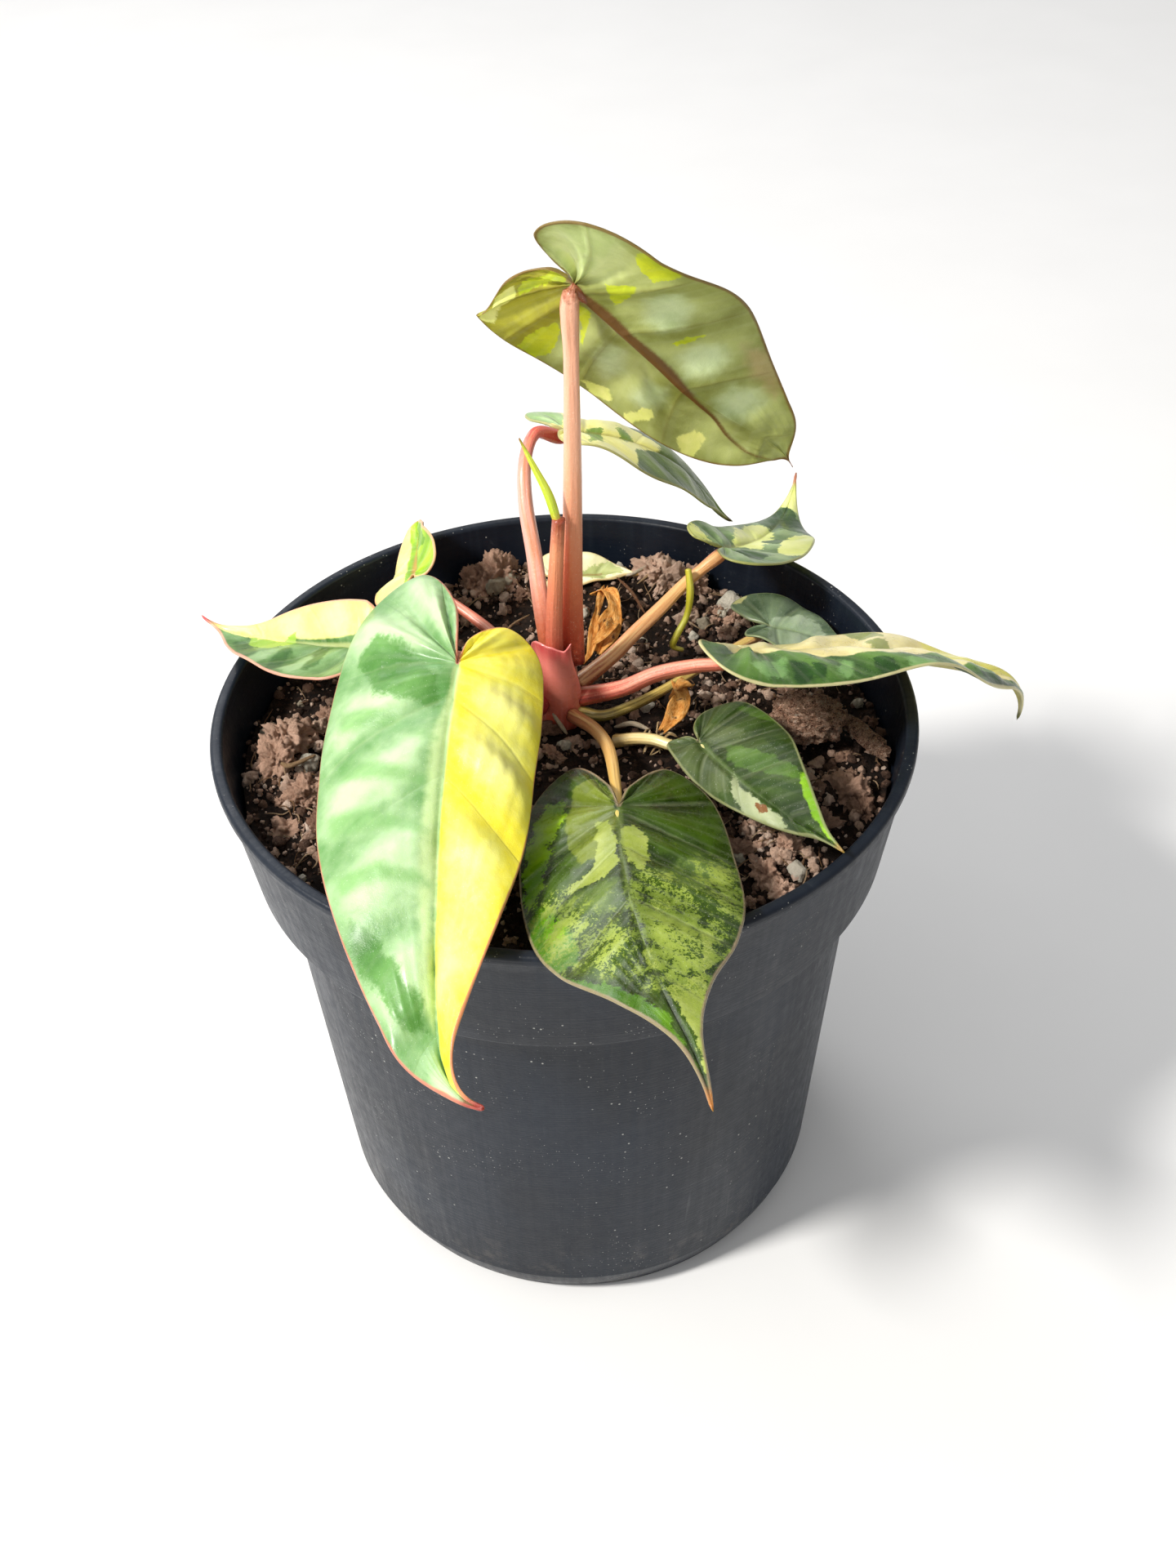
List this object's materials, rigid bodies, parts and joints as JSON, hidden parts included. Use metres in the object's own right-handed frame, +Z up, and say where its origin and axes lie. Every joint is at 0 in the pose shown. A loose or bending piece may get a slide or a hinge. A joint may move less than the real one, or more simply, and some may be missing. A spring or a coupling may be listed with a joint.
{
  "type": "potted foliage plant",
  "caption": "Variegated heart-leaved philodendron on red and cream stalks, rooted in a tapered black nursery pot with a collar and drain holes; a decorative indoor plant.",
  "frame": {"origin": "centre of the pot's underside, on the surface it stands on", "axes": "+Z up along the pot's axis, -Y towards the side that the two largest leaves hang over, +X to the right seen from there"},
  "size_m": [0.1596, 0.1799, 0.2101],
  "materials": {
    "pot_plastic": "semi-matte black, scuffed inside the rim",
    "soil": "crumbly dark brown mix",
    "bark": "rough pinkish brown",
    "stem_red": "smooth, red and pink",
    "stalk_pink": "smooth, pink and orange",
    "stalk_yellow": "smooth, cream and olive",
    "leaf_green": "quilted, soft sheen, mid green",
    "leaf_two_tone": "quilted, soft sheen, one half green and the other cream or yellow",
    "leaf_mottled": "quilted, soft sheen, dark green with cream marbling",
    "leaf_pale": "thin, pale cream green",
    "leaf_new": "smooth, bright yellow green",
    "dried_tissue": "dry, curled, orange brown"
  },
  "bodies": {
    "root": {"pot": "pot_plastic", "soil": "soil", "crown": "stem_red", "base_sheath": "stem_red", "blade_tall": "leaf_green", "blade_arched": "leaf_two_tone", "blade_broad": "leaf_two_tone", "blade_left": "leaf_two_tone", "blade_small": "leaf_new", "blade_long": "leaf_two_tone", "blade_back": "leaf_mottled", "blade_low": "leaf_green", "blade_side": "leaf_mottled", "blade_heart": "leaf_mottled", "blade_pale": "leaf_pale", "stalk_tall": "stalk_pink", "stalk_arched": "stalk_pink", "stalk_broad": "stalk_pink", "stalk_left": "stalk_pink", "stalk_small": "stalk_pink", "stalk_long": "stalk_pink", "stalk_back": "stalk_yellow", "stalk_low": "stalk_yellow", "stalk_side": "stalk_yellow", "stalk_heart": "stalk_yellow", "young_sheath": "stalk_pink", "young_spear": "leaf_new", "curled_stalk": "leaf_new", "dried_leaf": "dried_tissue", "withered_leaf": "dried_tissue", "bark_chunk": "bark", "bark_stick": "bark"}
  },
  "joints": []
}
